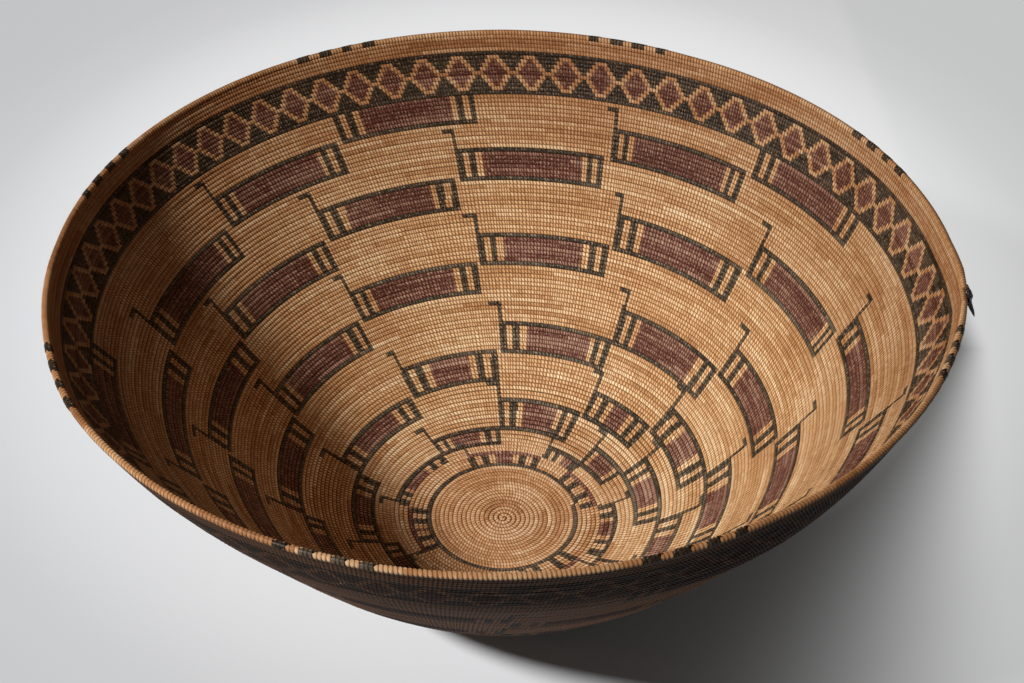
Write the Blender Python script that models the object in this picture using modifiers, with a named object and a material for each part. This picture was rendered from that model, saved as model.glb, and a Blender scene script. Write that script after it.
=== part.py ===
"""A large coiled storage basket: a wide open bowl built up from one long sewn coil.

Metres, +Z up. The origin is on the ground under the middle of the floor, and -Y is towards the
viewer. The coil is modelled as the stretches that its sewn design divides it into, each a ring
that is turned around the Z axis: the floor, the dark ring, the tiers of stepped blocks, the
diamond band, the plain courses and the rim coil. Black bindings and a hide tie sit on the rim.
"""

import bisect
import math

import bmesh
import bpy
from mathutils import Matrix, Vector

COLLECTION_NAME = "coiled_storage_basket"

# The coil: how thick the wall is, and how far apart its turns are sewn.
COIL_THICKNESS = 0.0032
WALL_PITCH = 0.00314
BAND_PITCH = 0.0030
RIM_COIL_DIAMETER = 0.0044
CLEARANCE = 0.0003

# The bowl's middle line runs from the middle of the floor to the centre of the rim coil.
RIM_RADIUS = 0.2800
RIM_RISE = 0.2465
FLOOR_FLAT_REACH = 0.0965
FLOOR_CURL_REACH = 0.1520
SHOULDER_INSET = 0.0659
SHOULDER_DROP = 0.0776
RIM_LEAN_INSET = 0.0234
RIM_LEAN_DROP = 0.0643
FOOT_RADIUS = 0.0360

# Turns of coil in each stretch.
FLOOR_TURNS = 17
BLOCK_TIERS = 13
BAND_TURNS = 11
UPPER_PLAIN_TURNS = 4
KNOT_RADIUS = 0.0050
KNOT_EDGE_ROUNDING = 0.0004

# The black bindings over the rim: groups of equal short sleeves, open below.
TICK_GROUP_BEARINGS = (-161.4, -118.0, -73.8, -27.3, 19.6, 67.0, 112.8, 159.7)
TICKS_IN_GROUP = 4
TICK_SPACING_DEG = 3.6
TICK_LENGTH = 0.0085
TICK_THICKNESS = 0.0005
TICK_WRAP_DEG = 240.0
TICK_ARC_STEPS = 8

# The hide tie outside the rim at the right.
TIE_BEARING = 100.8
TIE_KNOT_DEPTH = 0.0044
TIE_KNOT_WIDTH = 0.0095
TIE_KNOT_HEIGHT = 0.0095
TIE_KNOT_DROP = 0.0015
TIE_STUB_LENGTH = 0.0040
TIE_STUB_DIAMETER = 0.0024
TIE_TAIL_LENGTH = 0.0125
TIE_TAIL_WIDTH = 0.0026
TIE_TAIL_THICKNESS = 0.0012
TIE_TAIL_LEAN_DEG = 26.0

RING_STEPS = 48
RIM_STEPS = 120
RIM_SECTION_SIDES = 10
FLOOR_PIECES = 5
CURVE_SAMPLES = 400
SHARP_ANGLE_DEG = 40.0

TAN = (0.50, 0.27, 0.10)
CHARCOAL = (0.022, 0.022, 0.018)
RED_BROWN = (0.10, 0.028, 0.020)
HIDE = (0.016, 0.011, 0.009)


def clear_scene():
    """Remove every object, so the script can be run again in the same file."""
    for old in list(bpy.data.objects):
        bpy.data.objects.remove(old, do_unlink=True)


def make_material(name, colour, roughness):
    material = bpy.data.materials.new(name)
    material.use_nodes = True
    shader = material.node_tree.nodes["Principled BSDF"]
    shader.inputs["Base Color"].default_value = (*colour, 1.0)
    shader.inputs["Roughness"].default_value = roughness
    shader.inputs["Metallic"].default_value = 0.0
    material.diffuse_color = (*colour, 1.0)
    return material


def add_object(name, data, collection, colour, roughness):
    """Link a new object with a material of its own, shaded smooth with sharp corners kept."""
    made = bpy.data.objects.new(name, data)
    collection.objects.link(made)
    data.materials.append(make_material(name, colour, roughness))
    if isinstance(data, bpy.types.Mesh) and data.polygons:
        data.shade_smooth()
        data.set_sharp_from_angle(angle=math.radians(SHARP_ANGLE_DEG))
    return made


class MiddleLine:
    """The wall's middle line as (radius, height), read by the distance along it from the axis."""

    def __init__(self):
        rim_radius = RIM_RADIUS - RIM_COIL_DIAMETER / 2
        floor = COIL_THICKNESS / 2
        rim_height = floor + RIM_RISE
        handles = [
            Vector((0.0, floor)),
            Vector((FLOOR_FLAT_REACH, floor)),
            Vector((FLOOR_CURL_REACH, floor)),
            Vector((rim_radius - SHOULDER_INSET, rim_height - SHOULDER_DROP)),
            Vector((rim_radius - RIM_LEAN_INSET, rim_height - RIM_LEAN_DROP)),
            Vector((rim_radius, rim_height)),
        ]
        self.points = [self._on_curve(handles, i / CURVE_SAMPLES) for i in range(CURVE_SAMPLES + 1)]
        self.distances = [0.0]
        for near, far in zip(self.points, self.points[1:]):
            self.distances.append(self.distances[-1] + (far - near).length)
        self.length = self.distances[-1]

    @staticmethod
    def _on_curve(handles, share):
        """A point on the Bezier curve through these handles, by repeated halving of the list."""
        while len(handles) > 1:
            handles = [a.lerp(b, share) for a, b in zip(handles, handles[1:])]
        return handles[0]

    def at(self, distance):
        """The point there, and the direction across the wall towards the inside of the bowl."""
        i = min(max(bisect.bisect_right(self.distances, distance), 1), CURVE_SAMPLES)
        near, far = self.points[i - 1], self.points[i]
        step = far - near
        share = (distance - self.distances[i - 1]) / step.length
        inward = Vector((-step.y, step.x)).normalized()
        return near.lerp(far, share), inward


def turned(name, outline, steps, collection, colour, roughness):
    """Turn a closed outline of (radius, height) points around the Z axis."""
    mesh = bpy.data.meshes.new(name)
    corners = [(radius, 0.0, height) for radius, height in outline]
    edges = [(i, (i + 1) % len(corners)) for i in range(len(corners))]
    mesh.from_pydata(corners, edges, [])
    made = add_object(name, mesh, collection, colour, roughness)
    screw = made.modifiers.new("turn", "SCREW")
    screw.angle = math.tau
    screw.steps = steps
    screw.render_steps = steps
    screw.use_merge_vertices = True
    screw.merge_threshold = 0.00001
    screw.use_smooth_shade = True
    return made


def wall_outline(line, start, end, pieces):
    """A stretch of wall: down its outer side, then back up its inner side."""
    places = [start + (end - start) * i / pieces for i in range(pieces + 1)]
    half = COIL_THICKNESS / 2
    outer = []
    inner = []
    for place in places:
        point, inward = line.at(place)
        outer.append(point - inward * half)
        inner.append(point + inward * half)
    return [*reversed(outer), *inner]


def add_wall(name, line, start, end, pieces, collection, colour):
    """One ring of wall, half a clearance short of its neighbour at each edge."""
    outline = wall_outline(line, start + CLEARANCE / 2, end - CLEARANCE / 2, pieces)
    return turned(name, outline, RING_STEPS, collection, colour, 0.6)


def add_floor(line, start, end, collection):
    """The floor's plain turns, whose underside is worn flat out to the foot radius."""
    outline = wall_outline(line, start + CLEARANCE / 2, end - CLEARANCE / 2, FLOOR_PIECES)
    under, upper = outline[: FLOOR_PIECES + 1], outline[FLOOR_PIECES + 1 :]
    worn = [under[0], Vector((FOOT_RADIUS, 0.0)), Vector((under[-1].x, 0.0))]
    return turned("floor_coil", worn + upper, RING_STEPS, collection, TAN, 0.6)


def add_centre_knot(collection):
    """The tight start of the coil, a round button with softened edges."""
    mesh = bpy.data.meshes.new("centre_knot")
    shape = bmesh.new()
    radius = KNOT_RADIUS - CLEARANCE / 2
    bmesh.ops.create_cone(
        shape,
        cap_ends=True,
        segments=24,
        radius1=radius,
        radius2=radius,
        depth=COIL_THICKNESS,
    )
    shape.to_mesh(mesh)
    shape.free()
    made = add_object("centre_knot", mesh, collection, TAN, 0.6)
    made.location.z = COIL_THICKNESS / 2
    bevel = made.modifiers.new("soft_edge", "BEVEL")
    bevel.width = KNOT_EDGE_ROUNDING
    bevel.segments = 2
    return made


def add_rim_coil(line, collection):
    """The thicker last turn, a ring of round section."""
    centre, _ = line.at(line.length)
    radius = RIM_COIL_DIAMETER / 2
    turns = [-math.tau * i / RIM_SECTION_SIDES for i in range(RIM_SECTION_SIDES)]
    outline = [centre + Vector((math.cos(a), math.sin(a))) * radius for a in turns]
    return turned("rim_coil", outline, RIM_STEPS, collection, TAN, 0.5)


def rim_frame(line, bearing, outward=0.0, upward=0.0):
    """A frame at the rim coil's centre: X outwards, Y along the rim, Z up.

    Bearings are degrees from the far side, +Y, towards the right, +X.
    """
    centre, _ = line.at(line.length)
    turn = Matrix.Rotation(math.radians(90.0 - bearing), 4, "Z")
    return turn @ Matrix.Translation((centre.x + outward, 0.0, centre.y + upward))


def tick_outline(line):
    """The section of one binding: a sleeve around the rim coil, open towards the wall below it."""
    _, inward = line.at(line.length)
    up_wall = math.atan2(-inward.x, inward.y)
    wrap = math.radians(TICK_WRAP_DEG)
    # The flats between the section's corners keep the clearance.
    near = (RIM_COIL_DIAMETER / 2 + CLEARANCE) / math.cos(wrap / TICK_ARC_STEPS / 2)
    far = near + TICK_THICKNESS
    angles = [up_wall - wrap / 2 + wrap * i / TICK_ARC_STEPS for i in range(TICK_ARC_STEPS + 1)]
    outside = [Vector((math.cos(a), math.sin(a))) * far for a in angles]
    inside = [Vector((math.cos(a), math.sin(a))) * near for a in reversed(angles)]
    return [*outside, *inside]


def add_tick(name, line, bearing, collection):
    """One black binding: its section as a flat outline, as thick as the binding is long."""
    curve = bpy.data.curves.new(name, "CURVE")
    curve.dimensions = "2D"
    curve.fill_mode = "BOTH"
    curve.extrude = TICK_LENGTH / 2
    outline = tick_outline(line)
    spline = curve.splines.new("POLY")
    spline.points.add(len(outline) - 1)
    for point, place in zip(spline.points, outline):
        point.co = (place.x, place.y, 0.0, 1.0)
    spline.use_cyclic_u = True
    made = add_object(name, curve, collection, CHARCOAL, 0.6)
    made.matrix_world = rim_frame(line, bearing) @ Matrix.Rotation(math.radians(90.0), 4, "X")
    return made


def add_ticks(line, collection):
    """Every group of black bindings, a to d along the rim in each."""
    middle = (TICKS_IN_GROUP - 1) / 2
    for group, bearing in enumerate(TICK_GROUP_BEARINGS, start=1):
        for i in range(TICKS_IN_GROUP):
            place = bearing + (i - middle) * TICK_SPACING_DEG
            add_tick(f"rim_tick_{group}{'abcd'[i]}", line, place, collection)


def add_tie(line, collection):
    """The hide tie: a knot against the rim, a stub along the rim and a pointed tail below."""
    outward = RIM_COIL_DIAMETER / 2 + CLEARANCE + TIE_KNOT_DEPTH / 2
    knot_frame = rim_frame(line, TIE_BEARING, outward, -TIE_KNOT_DROP)

    mesh = bpy.data.meshes.new("tie_knot")
    shape = bmesh.new()
    bmesh.ops.create_uvsphere(shape, u_segments=16, v_segments=10, radius=0.5)
    size = Vector((TIE_KNOT_DEPTH, TIE_KNOT_WIDTH, TIE_KNOT_HEIGHT))
    bmesh.ops.scale(shape, vec=size, verts=shape.verts)
    shape.to_mesh(mesh)
    shape.free()
    knot = add_object("tie_knot", mesh, collection, HIDE, 0.5)
    knot.matrix_world = knot_frame

    mesh = bpy.data.meshes.new("tie_stub")
    shape = bmesh.new()
    bmesh.ops.create_cone(
        shape,
        cap_ends=True,
        segments=10,
        radius1=TIE_STUB_DIAMETER / 2,
        radius2=TIE_STUB_DIAMETER / 3,
        depth=TIE_STUB_LENGTH,
    )
    shape.to_mesh(mesh)
    shape.free()
    stub = add_object("tie_stub", mesh, collection, HIDE, 0.5)
    reach = TIE_KNOT_WIDTH / 2 + CLEARANCE + TIE_STUB_LENGTH / 2
    lie_along_rim = Matrix.Rotation(math.radians(-90.0), 4, "X")
    stub.matrix_world = knot_frame @ Matrix.Translation((0.0, reach, 0.0)) @ lie_along_rim

    mesh = bpy.data.meshes.new("tie_tail")
    shape = bmesh.new()
    bmesh.ops.create_cube(shape, size=1.0)
    size = Vector((TIE_TAIL_THICKNESS, TIE_TAIL_WIDTH, TIE_TAIL_LENGTH))
    bmesh.ops.scale(shape, vec=size, verts=shape.verts)
    tip = [corner for corner in shape.verts if corner.co.z < 0.0]
    bmesh.ops.scale(shape, vec=(0.5, 0.2, 1.0), verts=tip)
    bmesh.ops.translate(shape, vec=(0.0, 0.0, -TIE_TAIL_LENGTH / 2), verts=shape.verts)
    shape.to_mesh(mesh)
    shape.free()
    tail = add_object("tie_tail", mesh, collection, HIDE, 0.5)
    lean = math.radians(TIE_TAIL_LEAN_DEG)
    lifted_corner = TIE_TAIL_THICKNESS / 2 * math.sin(lean)
    fall = TIE_KNOT_HEIGHT / 2 + CLEARANCE + lifted_corner
    hang = Matrix.Translation((0.0, 0.0, -fall)) @ Matrix.Rotation(-lean, 4, "Y")
    tail.matrix_world = knot_frame @ hang


def build():
    clear_scene()
    collection = bpy.data.collections.new(COLLECTION_NAME)
    bpy.context.scene.collection.children.link(collection)
    line = MiddleLine()

    # Edges between the stretches, measured along the middle line from the axis outwards.
    ring_start = FLOOR_TURNS * WALL_PITCH
    ring_end = ring_start + WALL_PITCH
    plain_end = line.length - RIM_COIL_DIAMETER / 2 - CLEARANCE / 2
    plain_start = plain_end - UPPER_PLAIN_TURNS * BAND_PITCH
    band_start = plain_start - BAND_TURNS * BAND_PITCH
    tier = (band_start - ring_end) / BLOCK_TIERS

    add_centre_knot(collection)
    add_floor(line, KNOT_RADIUS, ring_start, collection)
    add_wall("dark_ring_course", line, ring_start, ring_end, 1, collection, CHARCOAL)
    for i in range(BLOCK_TIERS):
        start = ring_end + tier * i
        name = f"stepped_courses_{i + 1:02d}"
        colour = RED_BROWN if i % 2 else TAN
        add_wall(name, line, start, start + tier, 2, collection, colour)
    add_wall("diamond_band_courses", line, band_start, plain_start, 2, collection, CHARCOAL)
    add_wall("upper_plain_courses", line, plain_start, plain_end, 1, collection, TAN)
    add_rim_coil(line, collection)
    add_ticks(line, collection)
    add_tie(line, collection)


build()
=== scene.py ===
"""The looks of a large coiled storage basket: one long coil, sewn stitch by stitch.

The coil is a single spiral from the middle of the floor to the rim. A strand is wound around it,
one stitch for each turn of the strand, and the sewn design makes a stitch tan, black or red-brown.
Places along the coil are counted in turns from the middle. Bearings are degrees from the far side
of the basket, +Y, towards the right, +X, and turn 0 crosses bearing -90, the left.
"""

import math

import bmesh
import bpy
import numpy as np
from mathutils import Matrix, Vector, noise

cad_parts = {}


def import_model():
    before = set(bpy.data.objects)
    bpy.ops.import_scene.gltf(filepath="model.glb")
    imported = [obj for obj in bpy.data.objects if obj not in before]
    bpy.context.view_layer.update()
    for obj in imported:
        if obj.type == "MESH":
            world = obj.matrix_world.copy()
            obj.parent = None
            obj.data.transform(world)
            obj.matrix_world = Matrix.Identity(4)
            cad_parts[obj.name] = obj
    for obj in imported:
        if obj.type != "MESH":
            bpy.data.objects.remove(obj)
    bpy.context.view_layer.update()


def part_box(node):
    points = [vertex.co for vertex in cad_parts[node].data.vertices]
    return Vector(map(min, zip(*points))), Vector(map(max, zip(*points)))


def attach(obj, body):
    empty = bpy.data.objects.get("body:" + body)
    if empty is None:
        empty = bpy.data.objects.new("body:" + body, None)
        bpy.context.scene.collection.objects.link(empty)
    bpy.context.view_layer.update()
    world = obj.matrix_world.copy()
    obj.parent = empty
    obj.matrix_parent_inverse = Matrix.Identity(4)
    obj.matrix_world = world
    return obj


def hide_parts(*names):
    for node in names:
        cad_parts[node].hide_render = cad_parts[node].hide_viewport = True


SEED = 11

# The bowl's middle line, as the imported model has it.
COIL_THICKNESS = 0.0032
RIM_COIL_DIAMETER = 0.0044
FLOOR_FLAT_REACH = 0.0965
FLOOR_CURL_REACH = 0.1520
SHOULDER_INSET = 0.0659
SHOULDER_DROP = 0.0776
RIM_LEAN_INSET = 0.0234
RIM_LEAN_DROP = 0.0643
LINE_SAMPLES = 4000
TURN_SAMPLES = 2000
BAND_SAMPLES = 40000

# The turns of coil and how far apart they are sewn.
FLOOR_TURNS = 16
STEPPED_TURNS = 93
BAND_TURNS = 11
PLAIN_TURNS = 4
TIERS = 13
FLOOR_REACH = 0.0538
FLOOR_CROWDING = 0.94
WALL_PITCH = 0.00314
BAND_PITCH = 0.0030
RIM_PITCH = 0.0033
RIM_FALL = 0.0009
TURN_ZERO_BEARING = -90.0
COIL_START = -0.50
RING_START_BEARING = 77.0
BAND_START_BEARING = 180.0
COIL_END_BEARING = 101.0

# The stitches.
STITCH_WIDTH = 0.0022
SPLIT_FROM = 1.25
SPLIT_SPREAD = 0.45
STITCH_EVENING = 0.12
LEAN_DEG = 0.08
ROUND_STEPS = 8
RIM_ROUND_STEPS = 12
SQUARENESS = 4.0
RIM_SQUARENESS = 2.4
STITCH_SLANT = 0.20
RIM_SLANT = 0.0
FACE_GAP_DEPTH = 0.20
ROW_GAP_DEPTH = 0.13
HALF_HEIGHT = 0.00177
HALF_DEPTH = 0.0016
ROW_WOBBLE = 0.00016
CREST_SPREAD = 0.02
DEPTH_SPREAD = 0.03
SPREAD_EVERY = 6
WOBBLE_SPACING = 2.0
DEPTH_SPACING = 3.0
SHORTEST_STITCH = 0.3
RIM_NEARLY = 0.01

# How the coil starts and how the rim coil grows from the last row and tapers off over it.
START_TAPER = 0.25
START_SHARE = 0.5
RIM_GROWS_OVER = 1.0 / 36.0
RIM_ENDS_OVER = 1.0 / 72.0
RIM_END_SHARE = 0.45
RIM_END_DIP = 0.0016

# Each stretch's stitches lie in rows on its bake map, a stitch this much taller than it is wide.
BAKE_STITCH_SHAPE = 10.0 / 2.2
BAKE_MARGIN = 0.02

# The diamond band: 63 diamonds of 12 stitches in a turn.
DIAMOND_STITCHES = 12
DIAMOND_DEG = 360.0 / 63.0
DIAMOND_CENTRE_BEARING = 16.3
DIAMOND_DRIFT = 0.219
DIAMOND_DRIFT_BEARING = 20.0
DIAMOND_HALF_WIDTHS = (6, 5, 4, 3, 2)
DIAMOND_OUTLINE = 2

# The stepped blocks. Each column is listed from the diamond band down: the bearing of a block's
# left edge and the course that its bottom line lies on, counted up from the dark ring. A block
# reaches to the left edge of the block above it, and the first number is the top block's right edge.
BLOCK_COLUMNS = (
    (-99.9, ((-125.5, 87), (-153, 80), (179, 74), (154, 67), (125, 60), (97.4, 53), (66, 45),
             (33.2, 37), (-1, 30), (-35, 23), (-76.3, 18), (-114, 13), (-155, 9), (168, 5), (130, 0))),
    (-4.5, ((-30.2, 87), (-57.5, 80), (-86.4, 73), (-117.8, 67), (-149, 60), (180, 53), (150, 46),
            (121, 39), (91.6, 32), (61.5, 24), (34.2, 18), (-1.9, 11), (-38.3, 7), (-84.4, 4), (-124, 0))),
    (72.0, ((47.3, 87), (20.2, 80), (-9.2, 73), (-39.5, 66), (-70.7, 59), (-100.8, 53), (-132, 46),
            (-162, 40), (167, 33), (137, 26), (103.7, 20), (70.3, 13), (48.7, 8), (26.3, 4), (-23.5, 0))),
    (166.0, ((140, 88), (111.7, 81), (85, 75), (56.6, 67), (25.5, 59), (-5.6, 52), (-39.4, 45),
             (-74.5, 38), (-107.3, 32), (-142, 27), (183, 20), (152, 14), (125, 9), (84.3, 5), (48.0, 0))),
)
BAR_STITCHES = 2
BARS = (4, 4)
FEWER_BARS = {48.7: (2, 2), 26.3: (4, 1)}
LOW_BLOCK = 13
LOW_HOOK_ROWS = 3
HOOK_ROWS = 4
HOOK_FLAG_STITCHES = 4
OPEN_BLOCK = 6
BLOCK_MARGIN_DEG = 18.0
BLOCK_WRAP_DEG = 20.0
CORNER_INSET_DEG = 0.6
ROWS_TO_THE_BAND = 99
STITCH_READ_AT = 0.75

# The hide tie, in metres from the middle of its knot: outward from the basket, along the rim, up.
# Each strap is listed as a place, the way its flat side faces, its width and its thickness.
TIE_STANDS_OUT = 0.0006
KNOT_STRAPS = (
    (
        ((-0.0014, 0.0, 0.0046), (1, 0, 0), 0.0022, 0.0012),
        ((-0.0006, 0.0003, 0.0022), (1, 0, 0), 0.0036, 0.0022),
        ((-0.0004, 0.0, -0.0020), (1, 0, 0), 0.0038, 0.0024),
        ((0.0, -0.0003, -0.0048), (1, 0, 0), 0.0022, 0.0012),
    ),
    (
        ((-0.0016, -0.0026, 0.0034), (1, 0, 0), 0.0022, 0.0011),
        ((0.0002, -0.0014, 0.0020), (1, 0, 0), 0.0028, 0.0012),
        ((0.0009, 0.0003, -0.0002), (1, 0, 0), 0.0030, 0.0012),
        ((0.0003, 0.0018, -0.0026), (1, 0, 0), 0.0028, 0.0012),
        ((-0.0012, 0.0022, -0.0042), (1, 0, 0), 0.0020, 0.0011),
    ),
    (
        ((-0.0016, 0.0026, 0.0030), (1, 0, 0), 0.0022, 0.0011),
        ((0.0004, 0.0014, 0.0018), (1, 0, 0), 0.0028, 0.0012),
        ((0.0016, -0.0002, -0.0008), (1, 0, 0), 0.0030, 0.0013),
        ((0.0007, -0.0018, -0.0028), (1, 0, 0), 0.0028, 0.0012),
        ((-0.0010, -0.0022, -0.0044), (1, 0, 0), 0.0020, 0.0011),
    ),
    (
        ((0.0008, 0.0006, -0.0016), (0, 0, 1), 0.0028, 0.0013),
        ((-0.0026, 0.0002, -0.0030), (0, 0, 1), 0.0028, 0.0012),
        ((-0.0046, 0.0, -0.0030), (0, 0, 1), 0.0026, 0.0011),
    ),
    (
        ((0.0004, -0.0004, 0.0026), (0.5, 0, 1), 0.0030, 0.0013),
        ((-0.0012, 0.0, 0.0040), (0.3, 0, 1), 0.0030, 0.0012),
        ((-0.0028, 0.0002, 0.0030), (-0.2, 0, 1), 0.0028, 0.0011),
    ),
)
STUB_STRAP = (
    ((-0.0004, 0.0010, 0.0016), (1, 0, 0), 0.0026, 0.0013),
    ((-0.0008, 0.0022, 0.0030), (1, 0, 0), 0.0024, 0.0012),
    ((-0.0016, 0.0033, 0.0040), (1, 0, -0.3), 0.0018, 0.0011),
    ((-0.0022, 0.0042, 0.0048), (1, 0, -0.5), 0.0010, 0.0008),
)
TAIL_STRAP = (
    ((0.0004, 0.0, -0.0020), (0.6, 1, 0), 0.0030, 0.0015),
    ((0.0012, 0.0002, -0.0056), (0.4, 1, 0.2), 0.0032, 0.0014),
    ((0.0028, 0.0005, -0.0090), (0.3, 1, 0.4), 0.0029, 0.0012),
    ((0.0045, 0.0003, -0.0122), (0.3, 1, 0.4), 0.0020, 0.0010),
    ((0.0060, -0.0004, -0.0150), (0.3, 1, 0.3), 0.0005, 0.0005),
)
STRAP_SIDES = 14
STRAP_STEPS = 14
STRAP_END_STEPS = 3.0
STRAP_END_SHARE = 0.35
STRAP_ROUNDNESS = (0.7, 0.8)
HIDE_UNEVENNESS = 0.00016
HIDE_UNEVEN_SCALE = 700.0
HIDE_GRAIN_SCALE = 900.0
HIDE_PATCH_SCALE = 160.0
HIDE_GRAIN_DEPTH = 0.0002
HIDE_ROUGHNESS = (0.38, 0.62)

# The black bindings over the rim: for each group, in degrees, the bearing of its middle, the step
# from one binding to the next and the length of a binding.
TICK_GROUPS = (
    (-162.2, 3.25, 1.35), (-118.0, 3.6, 1.6), (-73.8, 3.6, 1.75), (-27.4, 3.6, 1.75),
    (19.5, 3.6, 1.75), (67.0, 3.5, 1.75), (112.3, 3.06, 1.5), (159.1, 3.5, 1.6),
)
TICKS_IN_GROUP = 4
TICK_PROUD = 0.0002

# How far the basket strays from a true round, in metres. Where the floor turns up, the rows lie
# closer or wider by bearing. The wall swells between floor and rim, most at the left and right. The
# rim has its own unevenness, listed as (bearing, outward, down).
ROW_STRAY = (
    (-150, 0.0), (-110, 0.002), (-85, 0.0030), (-60, 0.0008), (-35, -0.0010), (-10, -0.0033), (15, -0.0038),
    (35, -0.0042), (50, -0.0040), (62, -0.0030), (80, -0.0008), (100, 0.0022), (120, 0.0025), (150, 0.0),
)
ROW_STRAY_REACH = (0.028, 0.054, 0.078, 0.100, 0.126)
ROW_STRAY_SHARE = (0.0, 0.2, 1.0, 0.5, 0.0)
SWELL_ALL_ROUND = 0.0015
SWELL_AT_SIDES = 0.0013
SWELL_STARTS = 0.08
SWELL_FULL = 0.17
NEAR_SWELL = 0.0030
NEAR_SWELL_REACH = (0.05, 0.11)
NEAR_SWELL_BEARINGS = (112.0, 150.0)
RIM_STRAY_STARTS = 0.33
RIM_STRAY = (
    (-180, -0.0008, 0.0), (-160, 0.0008, 0.0), (-140, 0.0026, 0.0), (-122, 0.0034, 0.0), (-108, 0.0008, 0.0),
    (-90, -0.0008, 0.0005), (-65, 0.0003, 0.0005), (-45, 0.0011, 0.0005), (-20, 0.0016, 0.0005),
    (0, 0.0010, 0.0003), (15, -0.0003, 0.0008), (30, -0.0010, 0.0018), (60, -0.0006, 0.0020),
    (78, -0.0009, 0.0016), (90, -0.0004, 0.0012), (102, 0.0034, 0.0), (115, -0.0002, 0.0),
    (130, -0.0026, 0.0), (150, -0.0040, 0.0), (165, -0.0022, 0.0), (180, -0.0008, 0.0),
)

# The inside darkens and reddens towards the rim, a little less on the rim.
UPPER_TINT = (0.50, 0.41, 0.37)
RIM_UPPER_DARKENING_SHARE = 0.70

# The floor and the lowest rows are a little duller than the wall.
FLOOR_TINT = (0.86, 0.82, 0.84)

# How a strand's colour varies: by strand, by stitch, by a painted highlight that lightens each stitch's
# crest, along its fibres and in broad patches. Each number is a share of the way from its deep colour to its
# pale one.
STITCHES_IN_A_STRAND = (8, 40)
STRAND_TONE_SPREAD = 0.23
STRAND_TONE = 0.50
STITCH_SEED = 3.0
STITCH_TONE = 0.20
PAINTED_CREST_HIGHLIGHT = 0.36
FIBRE_TONE = 0.18
PATCH_TONE = 0.12
FIBRE_GRAIN = (5.0, 3.0)
SPLIT_GRAIN = (2.3, 7.0)
SPLIT_SHOWS = (0.55, 0.63)
PATCH_SCALE = 14.0
NOISE_SPAN = (0.3, 0.7)

# Where the strand's finish, colour and painted shade change, in metres: reaches from the floor's middle, and
# heights.
FLOOR_ENDS = (0.050, 0.064)
LOW_ROWS_END = (0.060, 0.110)
UPPER_DARKENING_HEIGHTS = (0.120, 0.245)
OUTSIDE_SHADE_BELOW_RIM_HEIGHTS = (0.150, 0.215)
RIM_BEGINS = (0.2446, 0.2462)

# Painted shade in the gaps between stitches and between rows. On the floor the stitches' painted shade is
# lighter and the rows' darker, and on the rim coil the rows' painted shade is faint.
STITCH_GAP = (0.06, 0.46)
STITCH_GAP_LIGHT = 0.16
FLOOR_STITCH_GAP_LIGHT = 0.5
ROW_GAP = (0.45, 0.97)
ROW_GAP_SHARE = 0.86
FLOOR_ROW_GAP_MORE = 0.10
RIM_ROW_GAP_SHARE = 0.25

# The outside is rougher and painted dark, painted shade, darkest below the rim. On the rim coil only its
# outer edge is.
OUTSIDE_BEGINS = (-0.50, 0.0)
RIM_OUTSIDE_SHIFT = 0.74
OUTSIDE_SHARE = 0.92
OUTSIDE_GAP_SHARE = 0.9
OUTSIDE_GAP_SHADE = (0.002, 0.001, 0.001)
OUTSIDE_SHADE_BELOW_RIM = (0.022, 0.011, 0.006)
OUTSIDE_SHADE_BELOW_RIM_SHARE = 0.62
FIBRE_ROUGHNESS = (-0.08, 0.1)
OUTSIDE_ROUGHER = 0.18
RIM_ROUGHER = -0.10
STRAND_GLOSS = 0.09
FIBRE_DEPTH = 0.00012

TAN, BLACK, RED = 0, 1, 2

# The studio. The floor's tone is painted to fall off away from the basket, and a painted glow fades its
# shadow with distance. The fill light is warm; the floor's colour is a little cool and it glows a faint
# painted blue.
KEY_PLACE = (-1.380, -0.912, 1.740)
KEY_SIZE = 0.22
KEY_POWER = 70.0
KEY_COLOUR = (1.0, 0.99, 0.975)
WORLD_STRENGTH = 0.072
WORLD_COLOUR = (1.0, 0.87, 0.80)
FLOOR_HUE = (0.98, 1.0, 1.035)
FLOOR_SHADE_PAINTED_BLUE = (0.0, 0.0032, 0.0042)
FLOOR_SIZE = 14.0
FLOOR_PALE_CENTRE_Y = 0.35
FLOOR_PALE_REACH = (0.445, 0.49, 1.0)
FLOOR_TONES = (
    (0.0, (0.745, 0.745, 0.745)), (0.53, (0.745, 0.745, 0.745)), (0.58, (0.72, 0.72, 0.72)),
    (0.625, (0.68, 0.68, 0.68)), (0.70, (0.60, 0.60, 0.60)), (0.81, (0.555, 0.555, 0.555)),
    (0.88, (0.55, 0.55, 0.55)),
)
FLOOR_TONES_END = 1.6
FLOOR_PALEST = 0.95
FLOOR_DARKEST = 0.02
FLOOR_ROUGHNESS = 0.9
SHADOW_FADE = 0.90
SHADOW_FADE_PIVOT = (0.421, 0.277)
SHADOW_FADE_NEAREST = 0.08
SHADOW_FADE_FULL = 0.176
SHADOW_FADE_SPREAD = 0.265

# The camera: its place, and how far it looks down, turns right and rolls, in radians.
CAMERA_SENSOR = 36.0
CAMERA_LENS = 52.37
CAMERA_PLACE = (0.0, -0.7608, 0.7849)
CAMERA_TURN = (0.6815, 0.0071, 0.0051)


def turn_of(course, bearing):
    """The turn at which this course of the coil crosses a bearing, the course starting at the left."""
    return course + ((bearing - TURN_ZERO_BEARING) % 360.0) / 360.0


RING_START = turn_of(FLOOR_TURNS - 1, RING_START_BEARING)
RING_END = RING_START + 1.0
BAND_START = turn_of(FLOOR_TURNS + STEPPED_TURNS, BAND_START_BEARING)
BAND_END = BAND_START + BAND_TURNS
RIM_COURSE = FLOOR_TURNS + 1 + STEPPED_TURNS + BAND_TURNS + PLAIN_TURNS
RIM_START = turn_of(RIM_COURSE - 1, COIL_END_BEARING)
COIL_END = RIM_START + 1.0


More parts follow.
